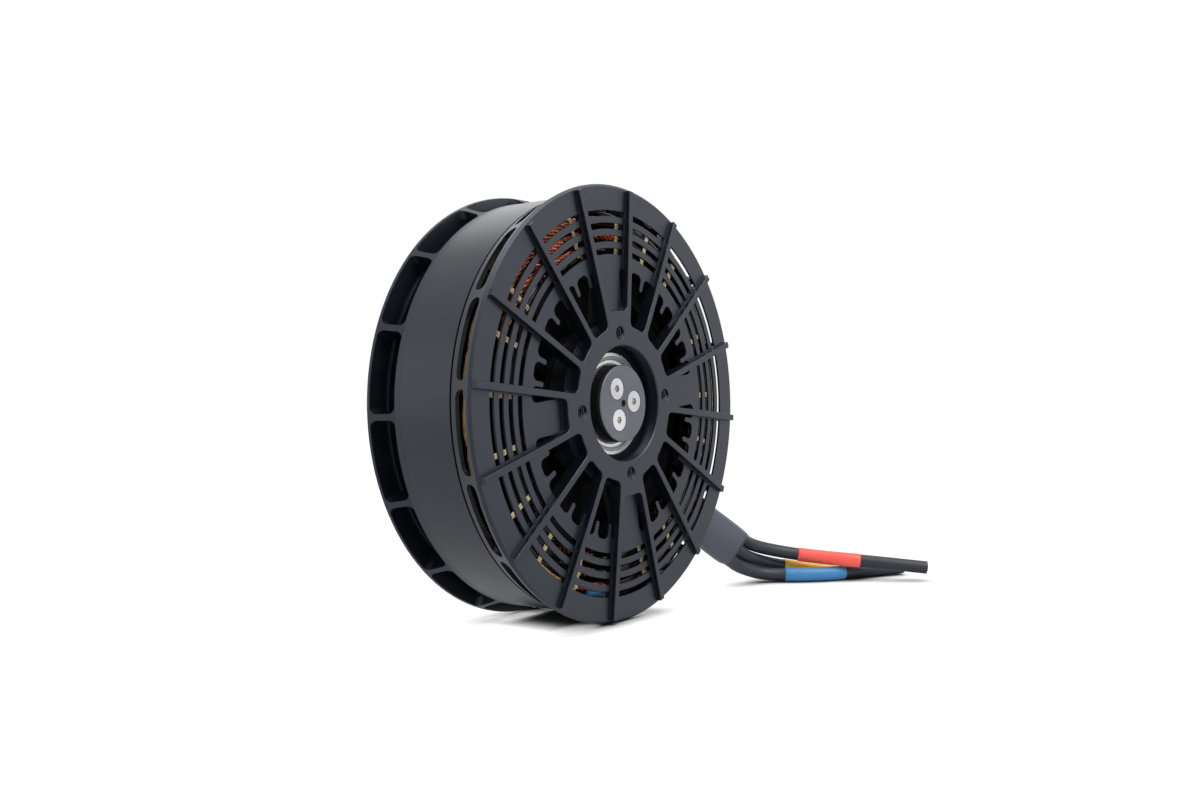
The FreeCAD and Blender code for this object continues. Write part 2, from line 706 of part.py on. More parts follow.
def shaft():
    flange_y1 = bell_end_y - bell_hub_t
    flange_y0 = flange_y1 - shaft_flange_t
    end_y = bell_end_y - shaft_end_inset
    boss_y = rear_bearing_y + bearing_w
    body = turned([
        (0, shaft_front_y), (bearing_bore_r - shaft_gap, shaft_front_y),
        (bearing_bore_r - shaft_gap, boss_y), (shaft_boss_r, boss_y),
        (shaft_boss_r, flange_y0), (shaft_flange_r, flange_y0), (shaft_flange_r, flange_y1),
        (bearing_bore_r, flange_y1), (bearing_bore_r, end_y), (shaft_bore_r, end_y),
        (shaft_bore_r, shaft_bore_y0), (0, shaft_bore_y0)])
    cap_holes = [cap_screw_place(disc(cap_screw_r, shaft_front_y - past, cap_y0 + cap_screw_len), i)
                 for i in range(cap_screw_count)]
    bell_holes = [bell_screw_place(disc(bell_screw_r, flange_y0 - past, flange_y1 + past), i)
                  for i in range(bell_screw_count)]
    return body.cut(cap_holes + bell_holes)


def cap_screw_place(shape, i):
    return turn(moved_x(shape, cap_screw_circle_r), cap_screw_first_deg + 360.0 / cap_screw_count * i)


def shaft_cap():
    c = cap_chamfer
    end = front_bearing_y
    body = turned([(cap_hole_r, cap_y0), (cap_r - c, cap_y0), (cap_r, cap_y0 + c), (cap_r, end - c),
                   (cap_r - c, end), (cap_hole_r, end)])
    sinks = []
    for i in range(cap_screw_count):
        sinks.append(cap_screw_place(disc(cap_screw_r, cap_y0, end + past), i))
        sinks.append(cap_screw_place(countersunk_head(cap_y0), i))
    return body.cut(sinks)


def countersunk_head(y):
    """A ninety-degree screw head whose top is level with the plane y."""
    depth = cap_screw_head_r - cap_screw_r
    return Part.makeCone(cap_screw_head_r, cap_screw_r, depth, Vector(0, y, 0), AXIS)


def cap_screws():
    shank = disc(cap_screw_r, cap_y0 + past, cap_y0 + cap_screw_len)
    one = countersunk_head(cap_y0).fuse(shank).cut(hex_pocket(hex_key, hex_depth, cap_y0))
    return [cap_screw_place(one, i) for i in range(cap_screw_count)]


def route_edges(points, label=""):
    """Straight runs joined by tangent arcs as large as each pair of runs allows."""
    pts = [Vector(*p) for p in points]
    edges = []
    start = pts[0]
    radii = []
    for before, corner, after in zip(pts, pts[1:], pts[2:]):
        run_in = corner - before
        run_out = after - corner
        reach = 0.45 * min(run_in.Length, run_out.Length)
        u = run_in.normalize()
        v = run_out.normalize()
        half_turn = u.getAngle(v) / 2
        radius = reach / math.tan(half_turn)
        p = corner - u * reach
        q = corner + v * reach
        inward = (v - u).normalize()
        mid = corner + inward * (radius / math.cos(half_turn) - radius)
        edges += [line(start, p), arc(p, mid, q)]
        start = q
        radii.append(radius)
    edges.append(line(start, pts[-1]))
    if label:
        print(label, "bend radii", [round(r, 1) for r in radii])
    return edges


def tube(edges, r):
    start = edges[0].valueAt(edges[0].FirstParameter)
    direction = edges[0].tangentAt(edges[0].FirstParameter)
    circle = Part.Wire(Part.Circle(start, direction, r).toShape())
    pipe = Part.Wire(edges).makePipeShell([circle], True, False)
    length = sum(e.Length for e in edges)
    section = math.pi * r * r
    if abs(pipe.Volume / (section * length) - 1) > 0.01:
        print("tube volume differs", pipe.Volume, section * length)
    return pipe


def lead(route, label):
    edges = route_edges(route, label)
    print(label, "length", round(sum(e.Length for e in edges), 1))
    return tube(edges, lead_r)


def stretch(edges, start, length):
    """The part of a route between two distances along it."""
    kept = []
    for edge in edges:
        first = max(0.0, start)
        last = min(edge.Length, start + length)
        if last > first:
            ends = [edge.getParameterByLength(distance) for distance in (first, last)]
            kept.append(edge.Curve.toShape(*ends))
        start -= edge.Length
    return kept


def marker(route, start):
    """A colour sleeve shrunk onto a lead."""
    edges = stretch(route_edges(route), start, marker_len)
    return tube(edges, lead_r + marker_t).cut(tube(edges, lead_r))


def flat_tube(edges, half_w, half_t):
    """A flat section with round edges that follows a path in the plane y = lead_y."""
    pieces = []
    for edge in edges:
        start = edge.valueAt(edge.FirstParameter)
        along = edge.tangentAt(edge.FirstParameter)
        across = Vector(-along.z, 0, along.x)
        flat = across * (half_w - half_t)
        thick = AXIS * half_t
        a, b = start + flat + thick, start - flat + thick
        c, d = start - flat - thick, start + flat - thick
        section = Part.Face(Part.Wire([
            line(a, b), arc(b, start - across * half_w, c), line(c, d), arc(d, start + across * half_w, a)]))
        if isinstance(edge.Curve, Part.Circle):
            swing = math.degrees(edge.Length / edge.Curve.Radius)
            pieces.append(section.revolve(edge.Curve.Center, edge.Curve.Axis, swing))
        else:
            pieces.append(section.extrude(along * edge.Length))
    return fuse(pieces)


def lead_sleeve():
    bend = at(sleeve_bend_r, outlet_deg, lead_y)
    end = Vector(sleeve_end[0], lead_y, sleeve_end[1])
    along = (end - bend).normalize()
    start = at(sleeve_start_r, outlet_deg, lead_y)
    edges = route_edges([start, bend, end + along * (sleeve_slant + past)])
    half_w = lead_spacing + lead_r + sleeve_gap
    half_t = lead_r + sleeve_gap
    across = Vector(-along.z, 0, along.x)
    lean = (across * half_w + along * sleeve_slant).normalize()
    size = 4 * half_w
    beyond = Part.makeBox(size, size, size, Vector(0, -size / 2, -size / 2))
    beyond.rotate(ORIGIN, AXIS, math.degrees(math.atan2(lean.x, lean.z)))
    beyond.translate(end)
    outer = flat_tube(edges, half_w + sleeve_wall, half_t + sleeve_wall).cut(beyond)
    inner = flat_tube(edges, half_w, half_t).cut(beyond)
    return outer.cut(inner)


def lead_tails():
    """Short stubs of bare wire between the outer connection bundle and each lead."""
    y = (link_y()[0] + link_y()[1]) / 2
    keep_out = disc(link_r[-1] + link_w / 2 + fit_gap, 0, core_y0)
    tails = []
    for k in (-1, 0, 1):
        start = turn(Part.Vertex(tail_start_r, y, k * lead_spacing), outlet_deg).Point
        end = turn(Part.Vertex(tail_end_r, y, k * lead_spacing), outlet_deg).Point
        tails.append(rod(tail_r, start, end).cut(keep_out))
    return tails


os.makedirs("parts", exist_ok=True)
write("base_plate", base_plate())
write("stator_carrier", stator_carrier())
write("carrier_screws", carrier_screws())
write("stator_core", star(tooth_w, True, core_y0, core_y0 + core_len, core_outer_r))
write("end_insulator_front", end_insulator(core_y0 - insulator_t))
write("end_insulator_rear", end_insulator(core_y0 + core_len))
for k, phase in enumerate(phases):
    write("phase_" + phase + "_coils", phase_coils(k))
    write("phase_" + phase + "_link", phase_link(k))
write("front_lacing", lacing(True))
write("rear_lacing", lacing(False))
for place, y in (("front", front_bearing_y), ("rear", rear_bearing_y)):
    for piece, shape in bearing(y).items():
        write(place + "_bearing_" + piece, shape)
write("preload_washer", ring(bearing_stop_r, bearing_outer_r - preload_washer_gap,
                             rear_bearing_y - preload_washer_t, rear_bearing_y))
write("inner_ring_spacer", ring(bearing_bore_r, bearing_bore_r + spacer_wall, front_bearing_y + bearing_w,
                                rear_bearing_y))
write("rotor_ring", ring(ring_r - ring_wall, ring_r, ring_y0, ring_y1))
write("rotor_magnets", rotor_magnets())
write("rotor_bell", rotor_bell())
write("bell_screws", bell_screws())
write("shaft", shaft())
write("shaft_cap", shaft_cap())
write("shaft_cap_screws", cap_screws())
write("lead_sleeve", lead_sleeve())
write("lead_tails", lead_tails())
for colour, route in (("red", red_route), ("yellow", yellow_route), ("blue", blue_route)):
    write(colour + "_lead", lead(route, colour + " lead"))
    write(colour + "_marker", marker(route, marker_start[colour]))
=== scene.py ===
# %% [markdown]
# # A brushless motor, dressed for the camera
# The motor is a flat outrunner: a ribbed base that stays still, a slotted core with its copper
# windings, and a ring and bell full of magnets that turn around them. Its solids come ready from
# the CAD model, all in one frame and in metres. This lesson adds what the solids lack: finishes,
# windings made of real wire, lacing, threads and three soft leads.

# %% Load the frame
import math

import bmesh
import bpy
from mathutils import Matrix, Vector


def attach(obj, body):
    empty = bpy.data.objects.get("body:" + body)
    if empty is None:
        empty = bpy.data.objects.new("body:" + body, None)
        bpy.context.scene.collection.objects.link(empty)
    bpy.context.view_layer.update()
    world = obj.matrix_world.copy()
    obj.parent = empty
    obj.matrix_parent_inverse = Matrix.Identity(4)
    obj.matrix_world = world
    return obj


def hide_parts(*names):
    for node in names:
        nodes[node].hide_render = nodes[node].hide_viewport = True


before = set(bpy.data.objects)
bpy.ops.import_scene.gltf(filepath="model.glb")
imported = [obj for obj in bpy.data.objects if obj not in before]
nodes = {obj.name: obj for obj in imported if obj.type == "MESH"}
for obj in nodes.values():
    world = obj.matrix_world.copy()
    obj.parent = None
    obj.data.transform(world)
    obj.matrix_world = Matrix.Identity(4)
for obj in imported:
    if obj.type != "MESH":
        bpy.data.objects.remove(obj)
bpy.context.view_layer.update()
MM = 0.001

# %% [markdown]
# ## Camera
# The photograph looks at the mounting side from the left, almost level with the axis. Instead of
# aiming an empty, the camera's three axes are worked out from a turn, a lift and a small roll,
# because that repeats the photograph's angle exactly and stays readable. A lens close to 35 mm
# on a sensor 36 mm wide gives the photograph's strong perspective.

# %% Camera
camera_place = Vector((-431.335, -310.649, 2.517)) * MM
turn, lift, roll = (math.radians(deg) for deg in (-52.961, 0.083, -0.870))
back = Vector((math.sin(turn) * math.cos(lift), -math.cos(turn) * math.cos(lift), math.sin(lift)))
level_right = Vector((math.cos(turn), math.sin(turn), 0))
level_up = back.cross(level_right)
right = level_right * math.cos(roll) + level_up * math.sin(roll)
up = level_up * math.cos(roll) - level_right * math.sin(roll)

camera_data = bpy.data.cameras.new("camera")
camera_data.sensor_width = 36
camera_data.lens = 34.85
camera = bpy.data.objects.new("camera", camera_data)
bpy.context.scene.collection.objects.link(camera)
camera.matrix_world = Matrix((
    (right.x, up.x, back.x, camera_place.x),
    (right.y, up.y, back.y, camera_place.y),
    (right.z, up.z, back.z, camera_place.z),
    (0, 0, 0, 1)))
bpy.context.scene.camera = camera
bpy.context.scene.view_settings.view_transform = "Standard"
print("camera looks along", [round(-part, 3) for part in back])

# %% [markdown]
# ## Making meshes
# Every new piece below is grown in a bmesh: a ring of points is drawn once and then extruded,
# spun or copied. These helpers turn the finished bmesh into an object at the origin. Angles go
# round the motor's axis, which is Y, from +X towards +Z, as in the CAD model.

# %% Helpers for meshes
def about_axis(deg):
    """The turn that carries a piece from +X to an angle round the motor's axis."""
    return Matrix.Rotation(-math.radians(deg), 4, "Y")


def made(name, bm, body, slot, *materials):
    """Ends a bmesh: faces outwards, smooth, at the origin, riding on its body."""
    bmesh.ops.recalc_face_normals(bm, faces=bm.faces)
    mesh = bpy.data.meshes.new(name)
    for face in bm.faces:
        face.smooth = True
    bm.to_mesh(mesh)
    bm.free()
    piece = bpy.data.objects.new(name, mesh)
    bpy.context.scene.collection.objects.link(piece)
    for material in materials:
        mesh.materials.append(material)
    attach(piece, body)
    print(name, "has", sum(len(p.vertices) - 2 for p in mesh.polygons), "triangles")
    return piece


def ring_of_points(bm, sides, radius, place):
    """A closed ring of points, drawn in the plane that the matrix gives (its X and Y axes)."""
    drawn = bmesh.ops.create_circle(bm, segments=sides, radius=radius, matrix=place)
    return drawn["verts"]


def ring_edges(ring):
    """The edges that join the points of a ring."""
    touching = {edge for v in ring for edge in v.link_edges}
    return [edge for edge in touching if all(v in ring for v in edge.verts)]


def only_points(geom):
    """The points among what an operator gives back."""
    return [item for item in geom if isinstance(item, bmesh.types.BMVert)]


def extruded(bm, ring):
    """Extrudes a ring of points once and gives back the new ring."""
    return only_points(bmesh.ops.extrude_edge_only(bm, edges=ring_edges(ring))["geom"])


def capped(bm, ring):
    """Closes a ring of points with one face."""
    bmesh.ops.contextual_create(bm, geom=ring_edges(ring))


def bridged(bm, ring, other):
    """Joins two rings of points with a band of faces."""
    bmesh.ops.bridge_loops(bm, edges=ring_edges(ring) + ring_edges(other))


def copied(bm, geom, matrix):
    """Copies some faces, with their edges and points, and moves the copy."""
    twin = bmesh.ops.duplicate(bm, geom=geom)["geom"]
    bmesh.ops.transform(bm, matrix=matrix, verts=only_points(twin))


def everything(bm):
    """All points, edges and faces so far, as a list that later copies don't change."""
    return bm.verts[:] + bm.edges[:] + bm.faces[:]


def matrix_of(first, second, third, place):
    """The matrix that carries X, Y and Z onto three directions and the origin onto a place."""
    return Matrix((
        (first[0], second[0], third[0], place[0]),
        (first[1], second[1], third[1], place[1]),
        (first[2], second[2], third[2], place[2]),
        (0, 0, 0, 1)))


print("mesh helpers ready")

# %% [markdown]
# ## Finishes
# Black anodised aluminium isn't quite black: the dyed skin is a fine satin glass over a blasted
# surface, so it reads as a dark blue grey, and machined edges catch a thin light line. One helper
# makes such a finish from two close shades, a noise that breaks up the gloss and a fine bump. The
# Bevel node rounds edges for the light alone, which stands for the deburred edge of a real part.
# Where a lathe left its marks, the bump follows the radius and the height instead of the noise.

# %% Helpers for finishes
def shade(red, green, blue):
    """A colour as it looks on a screen, 0 to 255, turned into the linear light Blender wants."""
    def linear(level):
        level = level / 255
        return level / 12.92 if level <= 0.04045 else ((level + 0.055) / 1.055) ** 2.4
    return (linear(red), linear(green), linear(blue), 1.0)


def wired(tree, kind, inputs=(), **values):
    """Adds a node, sets its values, and links or fills the named inputs."""
    node = tree.nodes.new(kind)
    for name, value in values.items():
        setattr(node, name, value)
    for name, value in dict(inputs).items():
        if isinstance(value, bpy.types.NodeSocket):
            tree.links.new(value, node.inputs[name])
        else:
            node.inputs[name].default_value = value
    return node


def lathe_marks(tree, place, pitch):
    """Noise that changes only with the radius and with the height along the axis."""
    flat = wired(tree, "ShaderNodeVectorMath", {0: place, 1: (1, 0, 1)}, operation="MULTIPLY")
    radius = wired(tree, "ShaderNodeVectorMath", {0: flat.outputs[0]}, operation="LENGTH")
    split = wired(tree, "ShaderNodeSeparateXYZ", {0: place})
    joined = wired(tree, "ShaderNodeCombineXYZ",
                   {"X": radius.outputs["Value"], "Y": split.outputs["Y"]})
    return wired(tree, "ShaderNodeTexNoise",
                 {"Vector": joined.outputs[0], "Scale": 1 / pitch, "Detail": 3.0})


def ramp(tree, value, low, high, to_low=0.0, to_high=1.0):
    """Stretches a part of a value's range to another range."""
    return wired(tree, "ShaderNodeMapRange",
                 {"Value": value, "From Min": low, "From Max": high,
                  "To Min": to_low, "To Max": to_high}).outputs[0]


patch_range = (0.35, 0.65)
gloss_range = (0.3, 0.7)


def finish(name, dark, light, rough, grain=0.0003, relief=0.00001, mottle=0.02, edge=0.0,
           lathe=None, **shader):
    """A finish with two shades, uneven gloss and a fine relief. Sizes are in metres."""
    material = bpy.data.materials.new(name)
    material.use_nodes = True
    tree = material.node_tree
    bsdf = tree.nodes["Principled BSDF"]
    place = wired(tree, "ShaderNodeTexCoord").outputs["Object"]
    patches = wired(tree, "ShaderNodeTexNoise",
                    {"Vector": place, "Scale": 1 / mottle, "Detail": 4.0})
    if lathe is None:
        marks = wired(tree, "ShaderNodeTexNoise",
                      {"Vector": place, "Scale": 1 / grain, "Detail": 2.0})
    else:
        marks = lathe_marks(tree, place, lathe)
    # A Mix node keeps sockets for numbers and vectors too: 6 and 7 are its two colours, and
    # output 2 is the mixed colour.
    colour = wired(tree, "ShaderNodeMix", {6: dark, 7: light}, data_type="RGBA")
    tree.links.new(ramp(tree, patches.outputs["Fac"], *patch_range), colour.inputs["Factor"])
    tree.links.new(colour.outputs[2], bsdf.inputs["Base Color"])
    tree.links.new(ramp(tree, marks.outputs["Fac"], *gloss_range, *rough), bsdf.inputs["Roughness"])
    bump = wired(tree, "ShaderNodeBump",
                 {"Height": marks.outputs["Fac"], "Strength": 1.0, "Distance": relief})
    if edge:
        rounded = wired(tree, "ShaderNodeBevel", {"Radius": edge}, samples=4)
        tree.links.new(rounded.outputs[0], bump.inputs["Normal"])
    tree.links.new(bump.outputs[0], bsdf.inputs["Normal"])
    for socket, value in shader.items():
        bsdf.inputs[socket.replace("_", " ").title().replace("Ior", "IOR")].default_value = value
    return material


print("finish helpers ready")

# %% [markdown]
# ## Black metal
# The base and the bell share one black anodised finish. The ring is turned, so its gloss runs
# round it, and the cap's machined face is a lighter grey. Of a black this deep only reflections
# show, so the tint of the reflection gives the dyed skin its cold blue. The carrier and the core
# lie in the dark and get little gloss, because light sparkling inside would look like dust.

# %% Black metal
anodised_black = finish(
    "anodised_black", shade(3, 7, 14), shade(4, 9, 17), (0.34, 0.44), edge=0.0003,
    relief=0.000005, specular_ior_level=0.66, specular_tint=(0.77, 0.84, 1.0, 1.0))
carrier_black = finish(
    "carrier_black", shade(3, 5, 8), shade(5, 7, 11), (0.55, 0.7), relief=0.00001,
    specular_ior_level=0.15)
anodised_grey = finish(
    "anodised_grey", shade(88, 90, 95), shade(97, 99, 104), (0.34, 0.42), edge=0.0003,
    relief=0.000003, metallic=0.5, lathe=0.00025)
ring_black = finish(
    "ring_black", shade(3, 8, 14), shade(5, 11, 18), (0.30, 0.38), edge=0.0003,
    relief=0.000001, lathe=0.0003, specular_ior_level=0.62,
    specular_tint=(0.78, 0.86, 1.0, 1.0))
core_black = finish(
    "core_black", shade(3, 3, 4), shade(7, 7, 7), (0.6, 0.75), lathe=0.00035,
    relief=0.00003, specular_ior_level=0.15)
print("finishes:", len(bpy.data.materials))

# %% [markdown]
# ## Finishes of the winding
# Enamelled copper looks orange red through its clear coat: a metal colour under a glossy coat
# gives that depth. The shades lie far apart and change within millimetres, because a bundle is
# many wires that catch the light one by one. The coils and the insulator film deep inside are
# painted nearly black as shade. The lacing is cream, with a dark copy that paints its shaded legs.

# %% Winding
# Painted shade: the insulator film is painted nearly black because it lies in the dark.
insulator_film = finish(
    "insulator_film", shade(4, 5, 5), shade(8, 9, 8), (0.6, 0.75), specular_ior_level=0.15)
enamelled_copper = finish(
    "enamelled_copper", shade(78, 16, 8), shade(255, 128, 70), (0.20, 0.32), mottle=0.005,
    relief=0.000004, metallic=0.5, coat_weight=0.9, coat_roughness=0.08)
olive_wire = finish(
    "olive_wire", shade(74, 70, 24), shade(176, 164, 84), (0.20, 0.32), mottle=0.004,
    relief=0.000004, metallic=0.3, coat_weight=0.9, coat_roughness=0.08)
yellow_wire = finish(
    "yellow_wire", shade(214, 166, 80), shade(252, 216, 132), (0.3, 0.45), mottle=0.003)
# Painted shade: the coils are painted nearly black because little light reaches them inside.
winding_copper = finish(
    "winding_copper", shade(9, 5, 4), shade(20, 9, 6), (0.45, 0.6), mottle=0.006,
    metallic=0.2, specular_ior_level=0.2)
black_sleeving = finish(
    "black_sleeving", shade(12, 12, 13), shade(20, 20, 22), (0.12, 0.24), mottle=0.01,
    relief=0.00002, grain=0.002)
lacing_cream = finish(
    "lacing_cream", shade(226, 200, 138), shade(252, 238, 196), (0.6, 0.75), mottle=0.002,
    grain=0.0004, relief=0.00006)
# Painted shade: a dark copy of the cream, for the legs of the lacing that lie in the dark.
lacing_soaked = finish(
    "lacing_soaked", shade(14, 12, 8), shade(30, 26, 16), (0.5, 0.65), mottle=0.002,
    grain=0.0004, relief=0.00006, specular_ior_level=0.2)
print("finishes:", len(bpy.data.materials))

# %% [markdown]
# ## Bare metal
# Bearings, springs, screws and shaft are bare steels, and the magnets are plated with nickel.
# They differ in how smooth they are and in their shade. What was turned shows fine rings of
# lathe marks, which a noise over the radius draws on any round piece.

# %% Steel, magnets and screws
bearing_steel = finish(
    "bearing_steel", shade(186, 188, 190), shade(214, 216, 218), (0.18, 0.28),
    metallic=0.75, lathe=0.0002, relief=0.000002, edge=0.0002)
cage_steel = finish(
    "cage_steel", shade(150, 142, 120), shade(184, 174, 148), (0.25, 0.35), metallic=1.0)
bearing_shield = finish(
    "bearing_shield", shade(104, 105, 106), shade(132, 133, 134), (0.16, 0.26),
    metallic=1.0, lathe=0.0004, relief=0.000003)
spring_steel = finish(
    "spring_steel", shade(110, 108, 104), shade(140, 138, 132), (0.25, 0.35),
    metallic=1.0, lathe=0.0003)
magnet_nickel = finish(
    "magnet_nickel", shade(150, 146, 136), shade(176, 172, 160), (0.2, 0.35),
    metallic=1.0, mottle=0.006)
black_screw = finish(
    "black_screw", shade(16, 16, 17), shade(30, 30, 31), (0.35, 0.5), metallic=0.6,
    edge=0.0002)
bright_screw = finish(
    "bright_screw", shade(190, 192, 196), shade(214, 216, 220), (0.26, 0.38),
    metallic=0.85, lathe=0.0002, relief=0.000002, edge=0.0002)
socket_brown = finish(
    "socket_brown", shade(112, 86, 60), shade(186, 164, 136), (0.4, 0.6), mottle=0.0012)
thread_metal = finish(
    "thread_metal", shade(88, 90, 94), shade(112, 114, 118), (0.25, 0.35), metallic=0.8)
shaft_steel = finish(
    "shaft_steel", shade(140, 140, 140), shade(170, 170, 168), (0.2, 0.32), metallic=1.0,
    lathe=0.0003, relief=0.000004)
print("finishes:", len(bpy.data.materials))

# %% [markdown]
# ## Finishes of the leads
# Silicone insulation is a soft dark blue grey with almost no gloss. The shrink sleeves are a
# smooth satin plastic, so they get a slow waviness instead of a grain, and each colour is a
# little uneven. The cut strands are copper under a thin coat of tin.

# %% Leads and sleeves
sleeving = {"mottle": 0.03, "grain": 0.0016, "relief": 0.00001}
marking = {"mottle": 0.02, "grain": 0.0016, "relief": 0.00001}
shrink_grey = finish(
    "shrink_grey", shade(50, 57, 70), shade(55, 62, 75), (0.40, 0.48), **sleeving)
silicone_black = finish(
    "silicone_black", shade(26, 30, 39), shade(32, 36, 46), (0.42, 0.52), mottle=0.02,
    grain=0.0008, relief=0.00001)
marker_red = finish(
    "marker_red", shade(253, 84, 70), shade(255, 96, 82), (0.38, 0.46), **marking)
marker_yellow = finish(
    "marker_yellow", shade(252, 196, 52), shade(255, 206, 66), (0.38, 0.46), **marking)
marker_blue = finish(
    "marker_blue", shade(48, 118, 172), shade(56, 126, 178), (0.38, 0.46), **marking)
tinned_strand = finish(
    "tinned_strand", shade(150, 110, 84), shade(196, 160, 130), (0.25, 0.4), metallic=1.0,
    mottle=0.001)
print("finishes:", len(bpy.data.materials))

# %% [markdown]
# ## Dressing the CAD nodes
# Each solid comes with a slot that names its finish, so a table from slot to finish dresses them
# all. The carrier is the one exception: it shares the base's slot but sits in the dark.

# %% Finishes for the CAD nodes
finish_of_slot = {
    "anodised_black": anodised_black, "anodised_grey": anodised_grey, "ring_black": ring_black,
    "core_black": core_black, "insulator": insulator_film, "enamelled_copper": enamelled_copper,
    "lacing_cord": lacing_cream, "bearing_steel": bearing_steel, "cage_steel": cage_steel,
    "bearing_shield": bearing_shield, "spring_steel": spring_steel, "magnet_nickel": magnet_nickel,
    "black_screw": black_screw, "bright_screw": bright_screw, "shaft_steel": shaft_steel,
    "shrink_grey": shrink_grey, "silicone_black": silicone_black, "marker_red": marker_red,
    "marker_yellow": marker_yellow, "marker_blue": marker_blue}
for name, node in nodes.items():
    for material_slot in node.material_slots:
        packed_name = material_slot.material.name.split(".")[0]
        material_slot.material = finish_of_slot[packed_name]
        if name == "stator_carrier":
            material_slot.material = carrier_black
print("nodes with a finish:", sum(1 for node in nodes.values() if node.material_slots))

# %% [markdown]
# ## Leads
# Three silicone leads leave the base through a flat sleeve and fan out over the floor. Each is a
# smooth NURBS line drawn by a few points of its route, with a round bevel as its insulation.
# Order 3 and the end points are set after the points, because set before them they are lost. A
# lead's length is measured on the line itself, from its own points.

# %% Leads
lead_radius = 0.0035
lead_routes = {
    "red": [(0.0732, 0.0109, -0.0494), (0.0793, 0.0109, -0.0544), (0.0865, 0.0109, -0.0580),
            (0.1180, 0.0109, -0.0736), (0.1314, 0.0109, -0.0802), (0.1490, -0.0015, -0.0854),
            (0.1585, -0.0225, -0.0880), (0.1687, -0.0414, -0.0896), (0.1848, -0.0686, -0.0931)],
    "yellow": [(0.0686, 0.0109, -0.0551), (0.0756, 0.0109, -0.0608), (0.0828, 0.0109, -0.0644),
               (0.1130, 0.0109, -0.0795), (0.1251, 0.0109, -0.0856), (0.1450, 0.0074, -0.0915),
               (0.1580, -0.0042, -0.0948), (0.1690, -0.0205, -0.0963), (0.1840, -0.0295, -0.0963),
               (0.1960, -0.0351, -0.0963)],
    "blue": [(0.0640, 0.0109, -0.0608), (0.0719, 0.0109, -0.0672), (0.0791, 0.0109, -0.0708),
             (0.1080, 0.0109, -0.0854), (0.1186, 0.0109, -0.0907), (0.1342, 0.0052, -0.0961),
             (0.1450, -0.0118, -0.0963), (0.1585, -0.0256, -0.0963), (0.1785, -0.0357, -0.0963),
             (0.2000, -0.0479, -0.0963)]}


def lead_line(name, route, radius):
    """A smooth line through the route, with a round bevel if it has a radius."""
    curve = bpy.data.curves.new(name, "CURVE")
    curve.dimensions = "3D"
    curve.resolution_u = 16
    curve.bevel_depth = radius
    curve.bevel_resolution = 6
    curve.use_fill_caps = radius > 0
    spline = curve.splines.new("NURBS")
    spline.points.add(len(route) - 1)
    for point, place in zip(spline.points, route):
        point.co = (*place, 1)
    spline.order_u = 3
    spline.use_endpoint_u = True
    line = bpy.data.objects.new(name, curve)
    bpy.context.scene.collection.objects.link(line)
    return line


def points_of(route):
    """Points read from the route's own smooth line."""
    line = lead_line("measure", route, 0)
    bpy.context.view_layer.update()
    mesh = bpy.data.meshes.new_from_object(line)
    points = [v.co.copy() for v in mesh.vertices]
    bpy.data.objects.remove(line)
    return points


def length_of(points):
    """How long a line through points is."""
    return sum((b - a).length for a, b in zip(points, points[1:]))


lead_points = {colour: points_of(route) for colour, route in lead_routes.items()}
leads = {colour: lead_line(colour + "_silicone_lead", route, lead_radius)
         for colour, route in lead_routes.items()}
for colour, lead in leads.items():
    lead.data.materials.append(silicone_black)
    print(colour, "lead is", round(length_of(lead_points[colour]) / MM, 1), "mm long")

# %% [markdown]
# ## Markers on the leads
# Each lead carries a short coloured shrink sleeve. A second bevelled curve would have sharp, open
# ends, so the sleeve is a tube that follows the lead's own line: a ring of points is extruded
# from station to station, a little larger than the lead, with soft rolled ends and a faint
# ripple, and closes on itself along the inside. It carries no print.

# %% Following a line
def station(points, along):
    """Where a line is after some length, as a matrix whose Z axis points along it."""
    left = along
    for a, b in zip(points, points[1:]):
        step = (b - a).length
        if left <= step or b is points[-1]:
            break
        left -= step
    ahead = (b - a).normalized()
    side = ahead.cross(Vector((0, 0, 1))).normalized()
    over = side.cross(ahead)
    return matrix_of(side, over, ahead, a + ahead * left)


def walled_tube(bm, points, profile, sides=24):
    """A tube with a wall: its profile, out and back, lists (length along the line, radius)."""
    before = station(points, profile[0][0]) @ Matrix.Scale(profile[0][1], 4)
    first = ring = ring_of_points(bm, sides, 1, before)
    for along, radius in profile[1:]:
        ring = extruded(bm, ring)
        now = station(points, along) @ Matrix.Scale(radius, 4)
        bmesh.ops.transform(bm, matrix=now @ before.inverted(), verts=ring)
        before = now
    bridged(bm, first, ring)


halfway = station(lead_points["red"], length_of(lead_points["red"]) / 2).translation
print("the red lead's middle:", [round(x, 4) for x in halfway])

# %% Markers
marker_length = 0.034
marker_start = {"red": 0.0935, "yellow": 0.0933, "blue": 0.0909}
marker_finish = {"red": marker_red, "yellow": marker_yellow, "blue": marker_blue}
marker_radius = 0.0038
marker_roll = 0.0007
marker_shoulder = 0.00012
marker_bite = 0.00005
marker_inner_radius = lead_radius - 0.0001
marker_ripple, ripple_turn = 0.00003, 2.4
outside_steps, inside_steps = 16, 6


def marker_profile(start):
    """(length along the lead, radius) of a marker: its outside, and back along its inside."""
    end = start + marker_length
    level = marker_length - 2 * marker_roll
    lip = lead_radius - marker_bite
    shoulder = marker_radius - marker_shoulder
    profile = [(start, lip), (start + marker_roll * 0.2, shoulder),
               (start + marker_roll, marker_radius)]
    for i in range(1, outside_steps):
        ripple = marker_ripple * math.sin(i * ripple_turn)
        profile.append((start + marker_roll + level * i / outside_steps, marker_radius + ripple))
    profile += [(end - marker_roll, marker_radius), (end - marker_roll * 0.2, shoulder), (end, lip)]
    for i in range(1, inside_steps):
        profile.append((end - marker_length * i / inside_steps, marker_inner_radius))
    return profile


for colour, points in lead_points.items():
    bm = bmesh.new()
    walled_tube(bm, points, marker_profile(marker_start[colour]))
    made(
        colour + "_marker_sleeve", bm, "stator", "marker_" + colour, marker_finish[colour])
    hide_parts(colour + "_marker")

